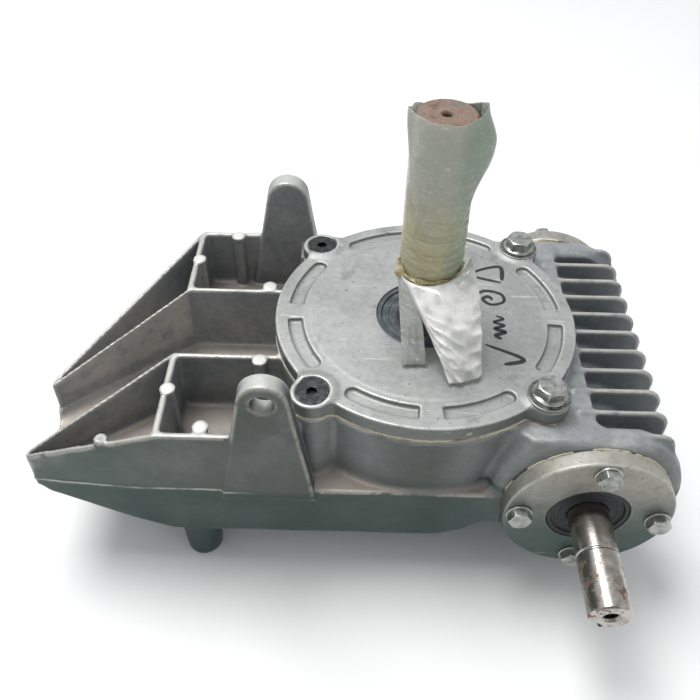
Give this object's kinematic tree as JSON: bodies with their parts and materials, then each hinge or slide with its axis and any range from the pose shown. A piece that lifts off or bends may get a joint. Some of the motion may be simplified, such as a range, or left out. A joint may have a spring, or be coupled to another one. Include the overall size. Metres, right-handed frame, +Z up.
{
  "type": "right angle worm gearbox",
  "caption": "Right angle worm gearbox with a finned cast housing, round screwed cover, upright output shaft, keyed input shaft and two hollow bracket arms.",
  "frame": {"origin": "on the output shaft's axis, at the housing's flat underside", "axes": "+Z up along the output shaft; -Y the way the input shaft points; +X from the output axis towards the finned worm housing, with the bracket arms at -X"},
  "size_m": [0.404, 0.2926, 0.287],
  "materials": {
    "cast_aluminium_raw": "as cast, grey with darker stained recesses",
    "cast_aluminium_bright": "shot-blasted die casting, light matte grey",
    "cast_aluminium_end": "as cast with machined face, stained grey-brown",
    "gasket_paper": "cream sealing paper and compound",
    "seal_rubber": "matte dark rubber",
    "black_oxide_steel": "black oxide",
    "zinc_plated_steel": "dull zinc plate",
    "bearing_steel": "polished",
    "rusted_shaft_steel": "surface rust",
    "ground_shaft_steel": "ground, with brown stains",
    "grey_iron": "machined grey iron",
    "gear_bronze": "hobbed bronze",
    "clear_film": "thin clear plastic film, olive tint",
    "white_film": "thin white plastic film, creased",
    "packing_tape": "yellowed clear tape"
  },
  "bodies": {
    "gearbox_case": {"housing": "cast_aluminium_raw", "main_cover": "cast_aluminium_bright", "cover_gasket": "gasket_paper", "output_seal": "seal_rubber", "cover_screw_front": "black_oxide_steel", "cover_screw_rear": "black_oxide_steel", "cover_washer_front": "zinc_plated_steel", "cover_washer_rear": "zinc_plated_steel", "cover_bolt_front": "zinc_plated_steel", "cover_bolt_rear": "zinc_plated_steel", "input_cover": "cast_aluminium_end", "input_gasket": "gasket_paper", "input_seal": "seal_rubber", "rear_cover": "cast_aluminium_end", "rear_gasket": "gasket_paper", "oil_plug": "zinc_plated_steel", "upper_bearing_outer_race": "bearing_steel", "lower_bearing_outer_race": "bearing_steel", "front_worm_bearing_outer_race": "bearing_steel", "rear_worm_bearing_outer_race": "bearing_steel", "input_washer_1": "zinc_plated_steel", "input_bolt_1": "zinc_plated_steel", "input_washer_2": "zinc_plated_steel", "input_bolt_2": "zinc_plated_steel", "input_washer_3": "zinc_plated_steel", "input_bolt_3": "zinc_plated_steel", "input_washer_4": "zinc_plated_steel", "input_bolt_4": "zinc_plated_steel", "rear_washer_1": "zinc_plated_steel", "rear_bolt_1": "zinc_plated_steel", "rear_washer_2": "zinc_plated_steel", "rear_bolt_2": "zinc_plated_steel", "rear_washer_3": "zinc_plated_steel", "rear_bolt_3": "zinc_plated_steel", "rear_washer_4": "zinc_plated_steel", "rear_bolt_4": "zinc_plated_steel"},
    "output": {"output_shaft": "rusted_shaft_steel", "wheel_key": "ground_shaft_steel", "wheel_hub": "grey_iron", "wheel_rim": "gear_bronze", "lower_spacer": "ground_shaft_steel", "upper_bearing_inner_race": "bearing_steel", "lower_bearing_inner_race": "bearing_steel", "shaft_film": "clear_film", "film_tie": "packing_tape", "film_tail_white": "white_film", "film_tail_clear": "clear_film"},
    "worm": {"worm_shaft": "ground_shaft_steel", "front_worm_bearing_inner_race": "bearing_steel", "rear_worm_bearing_inner_race": "bearing_steel"},
    "upper_cage": {"upper_bearing_ball_cage": "bearing_steel"},
    "lower_cage": {"lower_bearing_ball_cage": "bearing_steel"},
    "front_worm_cage": {"front_worm_bearing_ball_cage": "bearing_steel"},
    "rear_worm_cage": {"rear_worm_bearing_ball_cage": "bearing_steel"}
  },
  "joints": [
    {"name": "output_spin", "type": "hinge", "parent": "gearbox_case", "child": "output", "pos_m": [0, 0, 0.1], "axis": [0, 0, 1], "continuous": true},
    {"name": "worm_spin", "type": "hinge", "parent": "gearbox_case", "child": "worm", "pos_m": [0.1, 0, 0.046], "axis": [0, 1, 0], "continuous": true},
    {"name": "upper_cage_spin", "type": "hinge", "parent": "gearbox_case", "child": "upper_cage", "pos_m": [0, 0, 0.089], "axis": [0, 0, 1], "continuous": true},
    {"name": "lower_cage_spin", "type": "hinge", "parent": "gearbox_case", "child": "lower_cage", "pos_m": [0, 0, 0.0168], "axis": [0, 0, 1], "continuous": true},
    {"name": "front_worm_cage_spin", "type": "hinge", "parent": "gearbox_case", "child": "front_worm_cage", "pos_m": [0.1, -0.0865, 0.046], "axis": [0, 1, 0], "continuous": true},
    {"name": "rear_worm_cage_spin", "type": "hinge", "parent": "gearbox_case", "child": "rear_worm_cage", "pos_m": [0.1, 0.0865, 0.046], "axis": [0, 1, 0], "continuous": true}
  ],
  "couplings": [
    {"joint": "worm_spin", "follows": "output_spin", "ratio": -20},
    {"joint": "upper_cage_spin", "follows": "output_spin", "ratio": 0.3972},
    {"joint": "lower_cage_spin", "follows": "output_spin", "ratio": 0.3972},
    {"joint": "front_worm_cage_spin", "follows": "output_spin", "ratio": -7.3793},
    {"joint": "rear_worm_cage_spin", "follows": "output_spin", "ratio": -7.3793}
  ]
}
